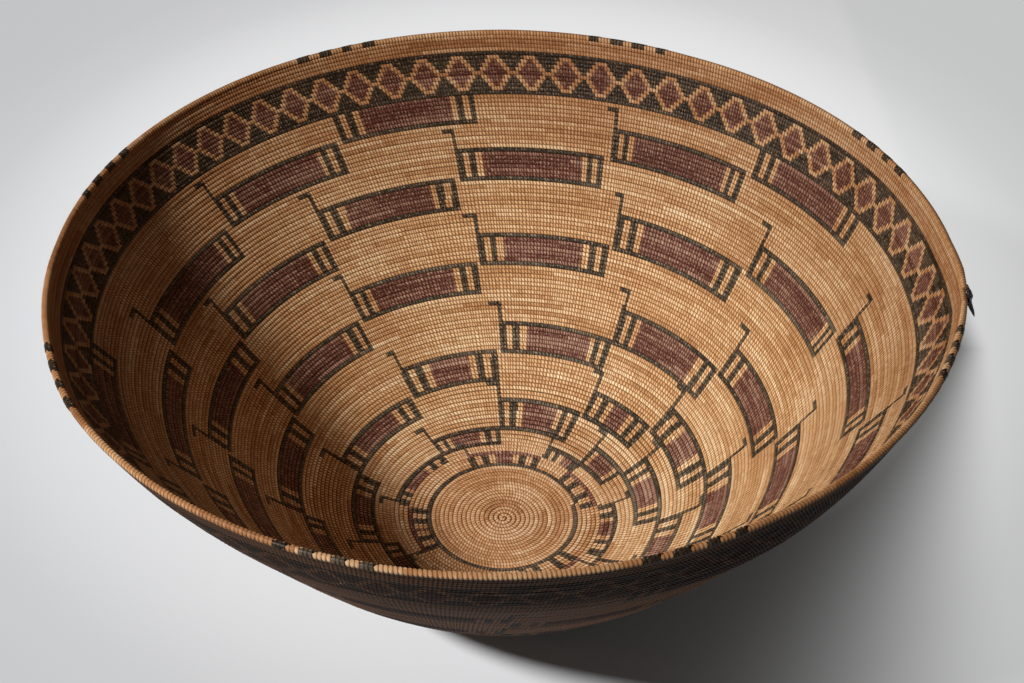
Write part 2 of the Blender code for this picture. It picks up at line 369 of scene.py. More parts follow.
class Wall:
    """The bowl's middle line as (radius, height), read by the distance along it from the axis."""

    def __init__(self):
        low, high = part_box("rim_coil")
        rim_radius = high.x - RIM_COIL_DIAMETER / 2
        rim_height = (low.z + high.z) / 2
        floor = COIL_THICKNESS / 2
        # A smooth curve: each round of mixing neighbours leaves one list fewer, down to its points.
        level = [
            (0.0, floor),
            (FLOOR_FLAT_REACH, floor),
            (FLOOR_CURL_REACH, floor),
            (rim_radius - SHOULDER_INSET, rim_height - SHOULDER_DROP),
            (rim_radius - RIM_LEAN_INSET, rim_height - RIM_LEAN_DROP),
            (rim_radius, rim_height),
        ]
        share = np.linspace(0.0, 1.0, LINE_SAMPLES + 1)[:, None]
        level = [np.array(handle) for handle in level]
        while len(level) > 1:
            level = [a + (b - a) * share for a, b in zip(level, level[1:])]
        self.points = level[0]
        steps = np.diff(self.points, axis=0)
        lengths = np.hypot(steps[:, 0], steps[:, 1])
        self.distances = np.concatenate([[0.0], np.cumsum(lengths)])
        self.length = self.distances[-1]
        along = np.gradient(self.points, self.distances, axis=0)
        self.along = along / np.linalg.norm(along, axis=1, keepdims=True)

    def at(self, distance):
        """Points on the line, its direction towards the rim there, and the way to the inside."""
        point = self._read(self.points, distance)
        along = self._read(self.along, distance)
        along /= np.linalg.norm(along, axis=1, keepdims=True)
        beyond = np.clip(distance - self.length, 0.0, None) + np.clip(distance, None, 0.0)
        point = point + along * beyond[:, None]
        inward = np.stack([-along[:, 1], along[:, 0]], axis=1)
        return point, along, inward

    def _read(self, values, distance):
        columns = [np.interp(distance, self.distances, column) for column in values.T]
        return np.stack(columns, axis=1)


class Coil:
    """The spiral: how far along the wall's line each turn lies."""

    def __init__(self, wall):
        self.wall = wall
        floor = FLOOR_REACH * ((np.arange(FLOOR_TURNS + 1) + 0.5) / (FLOOR_TURNS + 0.5)) ** FLOOR_CROWDING
        upper_turns = np.arange(BAND_TURNS + PLAIN_TURNS)[::-1]
        rim = wall.length - RIM_FALL
        upper = rim - RIM_PITCH - BAND_PITCH * upper_turns
        last_stepped = upper[0] - (BAND_PITCH + WALL_PITCH) / 2
        stepped = np.linspace(floor[-1], last_stepped, STEPPED_TURNS + 1)[1:]
        self.courses = np.concatenate([floor, stepped, upper, [rim]])

    def distance(self, turn):
        inside = np.interp(turn, np.arange(len(self.courses)), self.courses)
        before = np.clip(turn, None, 0.0) * WALL_PITCH
        beyond = np.clip(turn - (len(self.courses) - 1), 0.0, None) * RIM_PITCH
        return inside + before + beyond

    def radius(self, turn):
        point, _, _ = self.wall.at(np.atleast_1d(self.distance(turn)))
        return point[:, 0]


def bearing_of(turn):
    return turn * 360.0 + TURN_ZERO_BEARING


def diamond_place(turn):
    """How many diamonds of the band lie before this place on the coil."""
    lean = LEAN_DEG * (turn - (BAND_START + BAND_END) / 2)
    bearing = bearing_of(turn) + lean
    drift = DIAMOND_DRIFT * np.sin(np.radians(2 * (bearing - DIAMOND_DRIFT_BEARING)))
    home = np.radians(2 * (DIAMOND_CENTRE_BEARING - DIAMOND_DRIFT_BEARING))
    here = bearing / DIAMOND_DEG - drift
    return here - (DIAMOND_CENTRE_BEARING / DIAMOND_DEG - DIAMOND_DRIFT * math.sin(home))


def stitch_marks(coil, rng):
    """The turns at which one stitch ends and the next begins, from the middle to the rim."""
    turns = np.linspace(COIL_START, FLOOR_TURNS, TURN_SAMPLES)
    reach = np.maximum(coil.radius(turns), STITCH_WIDTH)
    arc = np.concatenate([[0.0], np.cumsum(np.diff(turns) * math.tau * (reach[1:] + reach[:-1]) / 2)])
    count = int(round(arc[-1] / STITCH_WIDTH))
    marks = np.interp(np.linspace(0.0, arc[-1], count + 1), arc, turns)
    row = marks[marks >= marks[-1] - 1.0 - 1e-9]
    rows = [marks]
    lean = LEAN_DEG / 360.0
    while row[-1] < BAND_START:
        after = row[1:] + 1.0 - lean
        after = after[after > row[-1] + SHORTEST_STITCH * (after[1] - after[0])]
        edges = np.concatenate([[row[-1]], after])
        middle = (edges[1:] + edges[:-1]) / 2
        width = np.diff(edges) * math.tau * coil.radius(middle)
        limit = STITCH_WIDTH * (SPLIT_FROM + SPLIT_SPREAD * rng.random(len(width)))
        edges = np.sort(np.concatenate([edges, middle[width > limit]]))
        evened = (edges[:-2] + edges[2:]) / 2
        edges[1:-1] += STITCH_EVENING * (evened - edges[1:-1])
        rows.append(edges[1:])
        row = edges
    stepped = np.concatenate(rows)
    stepped = stepped[stepped < BAND_START]

    fine = np.linspace(BAND_START, COIL_END, BAND_SAMPLES)
    places = diamond_place(fine) * DIAMOND_STITCHES
    lattice = np.arange(math.ceil(places[0]), math.floor(places[-1]) + 1)
    upper = np.interp(lattice, places, fine)
    stepped = stepped[stepped < upper[0] - 0.5 * (upper[1] - upper[0])]
    return np.concatenate([stepped, upper])


def ring_turn(bearing):
    """Where the dark ring crosses a bearing."""
    return RING_START + (bearing_share(bearing) - RING_START) % 1.0


def bearing_share(bearing):
    return (bearing - TURN_ZERO_BEARING) / 360.0


def draw_block(colour, place, left, bottom, right, above, kind):
    """Sew one block. `above` is the turn of the lower left corner of the block above it.

    The kind is "framed" for most, "open" for one without a bottom line, "ring" for one that stands
    on the dark ring under a red-brown row, and "top" for one that runs up to the diamond band.
    """
    corner = ring_turn(left) + bottom
    width = (right - left) % 360.0
    to_right = (bearing_of(place) - left + BLOCK_WRAP_DEG) % 360.0 - BLOCK_WRAP_DEG
    row = np.rint(place - corner - to_right / 360.0).astype(int)
    leaning = to_right + LEAN_DEG * row
    top = ROWS_TO_THE_BAND
    if above is not None:
        top = int(round(above - corner - width / 360.0))
    first = 1 if kind in ("ring", "open") else 0
    beside = (leaning > -BLOCK_MARGIN_DEG) & (leaning < width + BLOCK_MARGIN_DEG)
    around = beside & (place < BAND_START)
    rows = LOW_HOOK_ROWS if bottom <= LOW_BLOCK else HOOK_ROWS
    last = top if kind == "top" else top + rows + 1
    bars = FEWER_BARS.get(left, BARS)
    left_column, right_column = CORNER_INSET_DEG, width - CORNER_INSET_DEG
    columns = None

    for course in range(first, last + 1):
        stitches = np.flatnonzero(around & (row == course))
        if len(stitches) < 2:
            break
        here = leaning[stitches]
        start = int(np.argmin(np.abs(here - left_column)))
        stop = int(np.argmin(np.abs(here - right_column))) + 1
        left_column, right_column = here[start], here[stop - 1]
        if course > top:
            flag = HOOK_FLAG_STITCHES - 1 if course == last else 0
            colour[stitches[max(start - flag, 0) : start + 1]] = BLACK
            continue
        if course in (0, top):
            colour[stitches[start:stop]] = RED if kind == "ring" else BLACK
            continue
        colour[stitches[start:stop]] = RED
        if columns is None:
            from_left = [start + BAR_STITCHES * k for k in range(bars[0] + 1)]
            from_right = [stop - BAR_STITCHES * k for k in range(bars[1] + 1)]
            strips = np.array(from_left + from_right)
        else:
            strips = np.abs(here[None, :] - columns[:, None]).argmin(axis=1)
        columns = here[strips]
        from_left, from_right = strips[: bars[0] + 1], strips[bars[0] + 1 :]
        for k in range(bars[0]):
            colour[stitches[from_left[k] : from_left[k + 1]]] = TAN if k % 2 else BLACK
        for k in range(bars[1]):
            colour[stitches[from_right[k + 1] : from_right[k]]] = TAN if k % 2 else BLACK


def sewn_design(marks):
    """The colour of every stitch."""
    count = len(marks) - 2
    place = np.interp(np.arange(count) + STITCH_READ_AT, np.arange(len(marks)), marks)
    colour = np.full(count, TAN)

    for first_right, blocks in BLOCK_COLUMNS:
        right = first_right
        above = None
        for number, (left, bottom) in enumerate(blocks):
            kind = "framed"
            if number == 0:
                kind = "top"
            elif bottom == 0:
                kind = "ring"
            elif bottom <= OPEN_BLOCK:
                kind = "open"
            draw_block(colour, place, left, bottom, right, above, kind)
            right = left
            above = ring_turn(left) + bottom

    colour[(place >= RING_START) & (place < RING_END)] = BLACK

    in_band = (place >= BAND_START) & (place < BAND_END)
    row = np.floor(place - BAND_START).astype(int)
    away = np.abs(row - BAND_TURNS // 2)
    diamonds = diamond_place(place)
    off_centre = np.abs(diamonds - np.rint(diamonds)) * DIAMOND_STITCHES
    colour[in_band] = BLACK
    for distance, half_width in enumerate(DIAMOND_HALF_WIDTHS):
        on_row = in_band & (away == distance)
        colour[on_row & (off_centre < half_width)] = TAN
        colour[on_row & (off_centre < half_width - DIAMOND_OUTLINE)] = RED
    return colour


def smooth_noise(values, spacing, rng):
    """Random values that change gently along a line, about -1 to 1."""
    places = values / spacing
    knots = rng.uniform(-1.0, 1.0, int(places.max() - places.min()) + 3)
    at = places - places.min()
    whole = np.floor(at).astype(int)
    share = at - whole
    share = share * share * (3 - 2 * share)
    return knots[whole] * (1 - share) + knots[whole + 1] * share


def half_sizes(turn):
    """Half the coil's height and depth along it, and how far its end dips into the turn below."""
    height = np.full(len(turn), HALF_HEIGHT)
    depth = np.full(len(turn), HALF_DEPTH)
    rim = RIM_COIL_DIAMETER / 2
    grown = np.clip((turn - RIM_START) / RIM_GROWS_OVER, 0.0, 1.0)
    left = np.clip((COIL_END - turn) / RIM_ENDS_OVER, 0.0, 1.0)
    end_share = RIM_END_SHARE + (1.0 - RIM_END_SHARE) * left ** 0.5
    size = (HALF_HEIGHT + (rim - HALF_HEIGHT) * grown) * end_share
    on_rim = turn >= RIM_START
    height[on_rim] = size[on_rim]
    depth[on_rim] = size[on_rim]
    begun = np.clip((turn - COIL_START) / START_TAPER, 0.0, 1.0)
    height *= START_SHARE + (1.0 - START_SHARE) * begun
    dip = np.where(on_rim, (1.0 - left) * RIM_END_DIP, 0.0)
    return height, depth, dip


class Winding:
    """Points on the wound strand, by how many stitches have gone by and how far across one."""

    def __init__(self, coil, marks, rng):
        self.coil = coil
        self.marks = marks
        self.index = np.arange(len(marks))
        self.crest = rng.normal(0.0, CREST_SPREAD, len(marks) + 2)
        fine = np.linspace(marks[0], marks[-1], len(marks) // SPREAD_EVERY)
        self.fine = fine
        self.lift = smooth_noise(np.arange(len(fine)), WOBBLE_SPACING, rng)
        self.swell = smooth_noise(np.arange(len(fine)), DEPTH_SPACING, rng)

    def points(self, wound, across, proud=0.0):
        place = wound + across
        turn = np.interp(place, self.index, self.marks)
        on_rim = turn[0] > RIM_START - RIM_NEARLY
        steps, squareness, slant = ROUND_STEPS, SQUARENESS, STITCH_SLANT
        if on_rim:
            steps, squareness, slant = RIM_ROUND_STEPS, RIM_SQUARENESS, RIM_SLANT
        around = (wound - np.floor(wound) + 0.5 / steps) * math.tau
        turn = np.interp(place - slant * np.cos(around), self.index, self.marks)
        bearing = bearing_of(turn)
        level = (bearing + 180.0) % 360.0 - 180.0
        distance = self.coil.distance(turn)
        bearings, stray = np.array(ROW_STRAY).T
        share = np.interp(distance, ROW_STRAY_REACH, ROW_STRAY_SHARE)
        distance = distance + share * np.interp(level, bearings, stray)
        height, depth, dip = half_sizes(turn)
        lift = np.interp(turn, self.fine, self.lift) * ROW_WOBBLE
        swell = 1.0 + DEPTH_SPREAD * np.interp(turn, self.fine, self.swell)
        point, along, inward = self.coil.wall.at(distance + lift * 0.5 - dip)
        cos = np.cos(around)
        sin = np.sin(around)
        power = 2.0 / squareness
        up = np.sign(cos) * np.abs(cos) ** power
        side = np.sign(sin) * np.abs(sin) ** power
        stitch = np.clip(np.floor(wound).astype(int), 0, len(self.crest) - 1)
        if across > 0.0:
            full = 1.0 + self.crest[stitch]
        else:
            full = 1.0 - FACE_GAP_DEPTH - ROW_GAP_DEPTH * cos * cos
        size_up = (height + proud) * up
        size_side = (depth * swell * full + proud) * side + lift
        spot = point + along * size_up[:, None] + inward * size_side[:, None]
        outward, down = self.strays(level, distance)
        radius = spot[:, 0] + outward
        rise = np.maximum(spot[:, 1] - down, 0.0)
        angle = np.radians(bearing)
        return np.stack([radius * np.sin(angle), radius * np.cos(angle), rise], axis=1)

    def strays(self, level, distance):
        """How far the basket is out of round here, outward and down."""
        length = self.coil.wall.length
        rim_share = eased((distance - RIM_STRAY_STARTS) / (length - RIM_STRAY_STARTS))
        swell_share = eased((distance - SWELL_STARTS) / (SWELL_FULL - SWELL_STARTS)) * (1.0 - rim_share)
        swell = SWELL_ALL_ROUND - SWELL_AT_SIDES * np.cos(np.radians(2 * level))
        low, high = NEAR_SWELL_REACH
        near = eased((distance - low) / (high - low)) * (1.0 - rim_share)
        low, high = NEAR_SWELL_BEARINGS
        near *= eased((np.abs(level) - low) / (high - low))
        bearings, outward, down = np.array(RIM_STRAY).T
        out = swell_share * swell + NEAR_SWELL * near + rim_share * np.interp(level, bearings, outward)
        return out, rim_share * np.interp(level, bearings, down)


def eased(share):
    share = np.clip(share, 0.0, 1.0)
    return share * share * (3.0 - 2.0 * share)


def wound_piece(name, winding, first, last, colours, tones, steps, materials, proud=0.0):
    """The strand from one stitch up to another, as one closed mesh."""
    count = last - first
    total = count * steps
    valley = winding.points(first + np.arange(total + steps + 1) / steps, 0.0, proud)
    ridge = winding.points(first + np.arange(total + 1) / steps, 0.5, proud)
    points = np.concatenate([valley, ridge])
    i = np.arange(total)
    v, r = i, i + total + steps + 1
    near = np.stack([v, v + 1, r + 1, r], axis=1)
    far = np.stack([r, r + 1, v + steps + 1, v + steps], axis=1)
    quads = np.stack([near, far], axis=1).reshape(-1, 4)
    start_cap = np.concatenate([[0, total + steps + 1], np.arange(steps, 0, -1)])
    end_cap = np.concatenate([np.arange(total, total + steps + 1), [total * 2 + steps + 1]])
    corners = np.concatenate([quads.ravel(), start_cap, end_cap])
    starts = np.concatenate([np.arange(len(quads)) * 4, len(quads) * 4 + np.array([0, len(start_cap)])])

    mesh = bpy.data.meshes.new(name)
    mesh.vertices.add(len(points))
    mesh.vertices.foreach_set("co", points.astype(np.float32).ravel())
    mesh.loops.add(len(corners))
    mesh.loops.foreach_set("vertex_index", corners.astype(np.int32))
    mesh.polygons.add(len(starts))
    mesh.polygons.foreach_set("loop_start", starts.astype(np.int32))

    stitch = np.concatenate([np.repeat(i // steps, 2), [0, count - 1]])
    for material in materials:
        mesh.materials.append(material)
    mesh.polygons.foreach_set("material_index", colours[first + stitch].astype(np.int32))
    mesh.polygons.foreach_set("use_smooth", np.ones(len(starts), bool))
    mesh.update(calc_edges=True)
    tone = mesh.attributes.new("tone", "FLOAT", "FACE")
    tone.data.foreach_set("value", tones[first + stitch].astype(np.float32))

    ends = np.empty(len(mesh.edges) * 2, np.int32)
    mesh.edges.foreach_get("vertices", ends)
    in_valley = (ends.reshape(-1, 2) <= total + steps).all(axis=1)
    sharp = mesh.attributes.new("sharp_edge", "BOOLEAN", "EDGE")
    sharp.data.foreach_set("value", in_valley)

    whole = i // steps
    around = (i - whole * steps) / steps
    low = np.stack([around, around + 1.0 / steps, around + 1.0 / steps, around], axis=1)
    near_x = np.stack([whole, whole, whole + 0.5, whole + 0.5], axis=1)
    far_x = near_x + 0.5
    x = np.stack([near_x, far_x], axis=1).reshape(-1)
    y = np.stack([low, low], axis=1).reshape(-1)
    spare = len(start_cap) + len(end_cap)
    turned = y + 0.5 / steps
    add_uv(mesh, "Strand", x, turned, spare)
    in_row = max(1, int(math.sqrt(count * BAKE_STITCH_SHAPE)))
    rows = math.ceil(count / in_row)
    own = np.repeat(whole, 8)
    flat_x = (own % in_row + (x - own)) / in_row
    flat_y = (own // in_row + BAKE_MARGIN + (1.0 - 2 * BAKE_MARGIN) * y) / rows
    add_uv(mesh, "OFBake", flat_x, flat_y, spare)

    piece = bpy.data.objects.new(name, mesh)
    bpy.context.scene.collection.objects.link(piece)
    return piece


def add_uv(mesh, name, x, y, spare):
    """A map of the stitches. The corners of the two end caps come last, at its origin."""
    layer = mesh.uv_layers.new(name=name)
    places = np.concatenate([np.stack([x, y], axis=1), np.zeros((spare, 2))])
    layer.data.foreach_set("uv", places.astype(np.float32).ravel())


class Graph:
    """A new material and short ways to add nodes to it."""

    def __init__(self, name):
        self.material = bpy.data.materials.new(name)
        self.material.use_nodes = True
        self.tree = self.material.node_tree
        self.shader = self.tree.nodes["Principled BSDF"]

    def link(self, value, socket):
        if isinstance(value, bpy.types.NodeSocket):
            self.tree.links.new(value, socket)
        else:
            socket.default_value = value

    def node(self, kind, **inputs):
        made = self.tree.nodes.new(kind)
        for name, value in inputs.items():
            self.link(value, made.inputs[name.replace("_", " ")])
        return made

    def math(self, operation, a, b=0.0, c=0.0):
        made = self.tree.nodes.new("ShaderNodeMath")
        made.operation = operation
        for socket, value in zip(made.inputs, (a, b, c)):
            self.link(value, socket)
        return made.outputs[0]

    def uv(self, name):
        made = self.tree.nodes.new("ShaderNodeUVMap")
        made.uv_map = name
        split = self.node("ShaderNodeSeparateXYZ", Vector=made.outputs[0])
        return split.outputs[0], split.outputs[1]

    def object_place(self):
        return self.tree.nodes.new("ShaderNodeTexCoord").outputs["Object"]

    def vector(self, x, y, z=0.0):
        return self.node("ShaderNodeCombineXYZ", X=x, Y=y, Z=z).outputs[0]

    def length(self, place):
        made = self.node("ShaderNodeVectorMath")
        made.operation = "LENGTH"
        self.link(place, made.inputs[0])
        return made.outputs["Value"]

    def noise(self, place, scale, detail=2.0, roughness=0.5):
        made = self.node("ShaderNodeTexNoise", Vector=place, Scale=scale)
        made.inputs["Detail"].default_value = detail
        made.inputs["Roughness"].default_value = roughness
        return made.outputs["Fac"]

    def random(self, place):
        made = self.tree.nodes.new("ShaderNodeTexWhiteNoise")
        self.link(place, made.inputs["Vector"])
        return made.outputs["Value"]

    def attribute(self, name):
        made = self.tree.nodes.new("ShaderNodeAttribute")
        made.attribute_name = name
        return made.outputs["Fac"]

    def fit(self, value, low, high, to_low, to_high):
        made = self.node("ShaderNodeMapRange", Value=value)
        ends = {"From Min": low, "From Max": high, "To Min": to_low, "To Max": to_high}
        for name, number in ends.items():
            made.inputs[name].default_value = number
        return made.outputs[0]

    def ramp(self, value, *stops):
        made = self.node("ShaderNodeValToRGB", Fac=value)
        elements = made.color_ramp.elements
        while len(elements) < len(stops):
            elements.new(0.5)
        for element, (place, colour) in zip(elements, stops):
            element.position = place
            element.color = (*colour, 1.0)
        return made.outputs["Color"]

    def mix(self, share, a, b, blend="MIX"):
        made = self.tree.nodes.new("ShaderNodeMix")
        made.data_type = "RGBA"
        made.blend_type = blend
        self.link(share, made.inputs["Factor"])
        self.link(a if isinstance(a, bpy.types.NodeSocket) else (*a, 1.0), made.inputs[6])
        self.link(b if isinstance(b, bpy.types.NodeSocket) else (*b, 1.0), made.inputs[7])
        return made.outputs[2]

    def bump(self, height, distance, strength):
        made = self.node("ShaderNodeBump", Height=height, Distance=distance, Strength=strength)
        self.link(made.outputs[0], self.shader.inputs["Normal"])


def stretched(g, along, around, stitch, grain):
    """Where a point is on its stitch, drawn out so that noise there runs as fibres do."""
    return g.vector(g.math("MULTIPLY", along, grain[0]), g.math("MULTIPLY", around, grain[1]), stitch)


def strand_material(name, deep, middle, pale, gap_shade, outside_shade, speck, roughness):
    """Split plant strand: a painted highlight on each stitch's crest, painted shade in its gaps, and a
    rougher outside painted dark as shade.
    """
    g = Graph(name)
    along, around = g.uv("Strand")
    stitch = g.math("FLOOR", along)
    crest = g.math("MULTIPLY", g.math("PINGPONG", along, 0.5), 2.0)
    turn = g.math("MULTIPLY", around, math.tau)
    side = g.math("SINE", turn)
    face = g.math("ABSOLUTE", side)
    own = g.random(g.vector(stitch, STITCH_SEED))
    fibre_place = stretched(g, along, around, stitch, FIBRE_GRAIN)
    fibre = g.noise(fibre_place, 1.0, detail=3.0, roughness=0.6)
    patch = g.noise(g.object_place(), PATCH_SCALE, detail=3.0, roughness=0.55)
    on_floor = g.fit(g.length(g.object_place()), *FLOOR_ENDS, 1.0, 0.0)

    tone = g.math("MULTIPLY", g.attribute("tone"), STRAND_TONE)
    tone = g.math("MULTIPLY_ADD", own, STITCH_TONE, tone)
    # A painted highlight: the middle of each stitch's face is lifted towards the pale colour.
    tone = g.math("MULTIPLY_ADD", g.math("MULTIPLY", crest, face), PAINTED_CREST_HIGHLIGHT, tone)
    tone = g.math("ADD", tone, g.fit(fibre, *NOISE_SPAN, -FIBRE_TONE, FIBRE_TONE))
    tone = g.math("ADD", tone, g.fit(patch, *NOISE_SPAN, -PATCH_TONE, PATCH_TONE))
    # The pale end is reached mostly on the crests, where the painted highlight lifts the tone.
    colour = g.ramp(tone, (0.0, deep), (0.5, middle), (1.0, pale))
    split = g.noise(stretched(g, along, around, stitch, SPLIT_GRAIN), 1.0)
    colour = g.mix(g.fit(split, *SPLIT_SHOWS, 0.0, speck[0]), colour, speck[1])

    height = g.node("ShaderNodeSeparateXYZ", Vector=g.object_place()).outputs[2]
    on_rim = g.fit(height, *RIM_BEGINS, 0.0, 1.0)
    # Painted shade: towards the gaps between stitches and between rows the colour darkens to the gap colour.
    between = g.fit(crest, *STITCH_GAP, STITCH_GAP_LIGHT, 1.0)
    between = g.math("MAXIMUM", between, g.math("MULTIPLY", on_floor, FLOOR_STITCH_GAP_LIGHT))
    edge = g.fit(face, *ROW_GAP, 1.0, 0.0)
    edge_share = g.math("MULTIPLY_ADD", on_floor, FLOOR_ROW_GAP_MORE, ROW_GAP_SHARE)
    edge = g.math("MULTIPLY", edge, edge_share)
    edge = g.math("MULTIPLY", edge, g.fit(on_rim, 0.0, 1.0, 1.0, RIM_ROW_GAP_SHARE))
    upper_darkening = g.fit(height, *UPPER_DARKENING_HEIGHTS, 0.0, 1.0)
    upper_darkening = g.math("MULTIPLY", upper_darkening, g.fit(on_rim, 0.0, 1.0, 1.0, RIM_UPPER_DARKENING_SHARE))
    colour = g.mix(upper_darkening, colour, UPPER_TINT, "MULTIPLY")
    low_down = g.fit(g.length(g.object_place()), *LOW_ROWS_END, 1.0, 0.0)
    colour = g.mix(low_down, colour, FLOOR_TINT, "MULTIPLY")
    # Painted shade: the outside, and the outer edge of the rim coil, take a dark colour, darkest below the
    # rim.
    shifted = g.math("MULTIPLY_ADD", on_rim, RIM_OUTSIDE_SHIFT, side)
    outside = g.fit(shifted, *OUTSIDE_BEGINS, 1.0, 0.0)
    painted_outside_shade = g.mix(g.fit(fibre, *NOISE_SPAN, 0.0, 1.0), outside_shade[0], outside_shade[1])
    shade_below_rim = g.fit(height, *OUTSIDE_SHADE_BELOW_RIM_HEIGHTS, 0.0, OUTSIDE_SHADE_BELOW_RIM_SHARE)
    painted_outside_shade = g.mix(shade_below_rim, painted_outside_shade, OUTSIDE_SHADE_BELOW_RIM)
    colour = g.mix(g.math("MULTIPLY", outside, OUTSIDE_SHARE), colour, painted_outside_shade)
    # The painted shade in the gaps is nearly black on the outside.
    painted_gap_shade = g.mix(g.math("MULTIPLY", outside, OUTSIDE_GAP_SHARE), gap_shade, OUTSIDE_GAP_SHADE)
    colour = g.mix(g.math("MULTIPLY", between, g.math("SUBTRACT", 1.0, edge)), painted_gap_shade, colour)
    g.link(colour, g.shader.inputs["Base Color"])
    smoothest, roughest = (roughness + change for change in FIBRE_ROUGHNESS)
    rough = g.fit(fibre, *NOISE_SPAN, smoothest, roughest)
    rough = g.math("ADD", rough, g.math("MULTIPLY", outside, OUTSIDE_ROUGHER))
    rough = g.math("MULTIPLY_ADD", on_rim, RIM_ROUGHER, rough)
    g.link(rough, g.shader.inputs["Roughness"])
    g.shader.inputs["Specular IOR Level"].default_value = STRAND_GLOSS
    g.bump(fibre, FIBRE_DEPTH, strength=0.6)
    return g.material


def tan_material():
    return strand_material(
        "tan_strand",
        deep=(0.30, 0.125, 0.044),
        middle=(0.66, 0.360, 0.160),
        pale=(1.00, 0.76, 0.46),
        gap_shade=(0.10, 0.034, 0.011),
        outside_shade=((0.070, 0.023, 0.008), (0.155, 0.060, 0.024)),
        speck=(0.35, (0.20, 0.075, 0.025)),
        roughness=0.45,
    )


def black_material():
    return strand_material(
        "black_strand",
        deep=(0.014, 0.010, 0.006),
        middle=(0.050, 0.037, 0.024),
        pale=(0.190, 0.150, 0.105),
        gap_shade=(0.006, 0.004, 0.003),
        outside_shade=((0.012, 0.007, 0.004), (0.032, 0.019, 0.012)),
        speck=(0.60, (0.50, 0.34, 0.21)),
        roughness=0.45,
    )


def red_material():
    return strand_material(
        "red_brown_strand",
        deep=(0.080, 0.022, 0.014),
        middle=(0.155, 0.052, 0.036),
        pale=(0.53, 0.31, 0.22),
        gap_shade=(0.016, 0.005, 0.003),
        outside_shade=((0.022, 0.009, 0.006), (0.045, 0.021, 0.013)),
        speck=(0.50, (0.66, 0.43, 0.27)),
        roughness=0.5,
    )


def hide_material():
    """Dark tanned hide: near black, creased, a little shiny where it is handled."""
    g = Graph("dark_hide")
    grain = g.noise(g.object_place(), HIDE_GRAIN_SCALE, detail=4.0, roughness=0.6)
    broad = g.noise(g.object_place(), HIDE_PATCH_SCALE)
    colour = g.ramp(
        g.math("MULTIPLY_ADD", broad, 0.5, g.math("MULTIPLY", grain, 0.5)),
        (0.3, (0.006, 0.005, 0.004)),
        (0.55, (0.020, 0.012, 0.008)),
        (0.8, (0.080, 0.045, 0.026)),
    )
    g.link(colour, g.shader.inputs["Base Color"])
    g.link(g.fit(grain, *NOISE_SPAN, *HIDE_ROUGHNESS), g.shader.inputs["Roughness"])
    g.bump(grain, HIDE_GRAIN_DEPTH, strength=0.7)
    return g.material


def strand_tones(count, rng):
    """How pale each stitch is. Strands differ from one another, and one lasts for many stitches."""
    tones = np.empty(count)
    at = 0
    while at < count:
        run = int(rng.integers(*STITCHES_IN_A_STRAND))
        tones[at : at + run] = np.clip(rng.normal(0.5, STRAND_TONE_SPREAD), 0.0, 1.0)
        at += run
    return tones


def stitch_at(marks, turn):
    return int(np.searchsorted(marks, turn))


def add_coil(materials):
    """Every stretch of the coil, and the black bindings on the rim."""
    rng = np.random.default_rng(SEED)
    wall = Wall()
    coil = Coil(wall)
    marks = stitch_marks(coil, rng)
    colours = sewn_design(marks)
    tones = strand_tones(len(marks), rng)
    winding = Winding(coil, marks, rng)
    last = len(colours) - 1

    tier_ends = np.linspace(RING_END, BAND_START, TIERS + 1)
    stretches = [
        ("floor_strand", COIL_START, RING_START, ("centre_knot", "floor_coil"), "tan_strand"),
        ("dark_ring_strand", RING_START, RING_END, ("dark_ring_course",), "black_strand"),
    ]
    for i in range(TIERS):
        number = f"{i + 1:02d}"
        node = f"stepped_courses_{number}"
        ends = tier_ends[i], tier_ends[i + 1]
        stretches.append((f"stepped_strand_{number}", *ends, (node,), "patterned_strand"))
    middle = (BAND_START + BAND_END) / 2
    band_nodes = ("diamond_band_courses",)
    stretches += [
        ("diamond_band_strand_lower", BAND_START, middle, band_nodes, "dark_band_strand"),
        ("diamond_band_strand_upper", middle, BAND_END, band_nodes, "dark_band_strand"),
        ("upper_plain_strand", BAND_END, RIM_START, ("upper_plain_courses",), "tan_strand"),
        ("rim_strand", RIM_START, COIL_END, ("rim_coil",), "tan_strand"),
    ]

    for name, start, end, nodes, slot in stretches:
        first = max(stitch_at(marks, start), 0)
        stop = min(stitch_at(marks, end), last)
        steps = RIM_ROUND_STEPS if name == "rim_strand" else ROUND_STEPS
        piece = wound_piece(name, winding, first, stop, colours, tones, steps, materials)
        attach(piece, "root")
        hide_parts(*nodes)

    add_ticks(winding, marks, tones, materials)


def add_ticks(winding, marks, tones, materials):
    """The black bindings, each wound a few times over the rim coil."""
    black = np.full(len(marks), BLACK)
    middle = (TICKS_IN_GROUP - 1) / 2
    for group, (bearing, spacing, length) in enumerate(TICK_GROUPS, start=1):
        for i in range(TICKS_IN_GROUP):
            centre = bearing + (i - middle) * spacing
            turn = RIM_START + (bearing_share(centre) - RIM_START) % 1.0
            half = length / 2 / 360.0
            first = stitch_at(marks, turn - half)
            stop = max(stitch_at(marks, turn + half), first + 2)
            label = f"{group}{'abcd'[i]}"
            name = f"rim_binding_{label}"
            steps = RIM_ROUND_STEPS
            piece = wound_piece(name, winding, first, stop, black, tones, steps, materials, TICK_PROUD)
            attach(piece, "root")
            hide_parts(f"rim_tick_{label}")


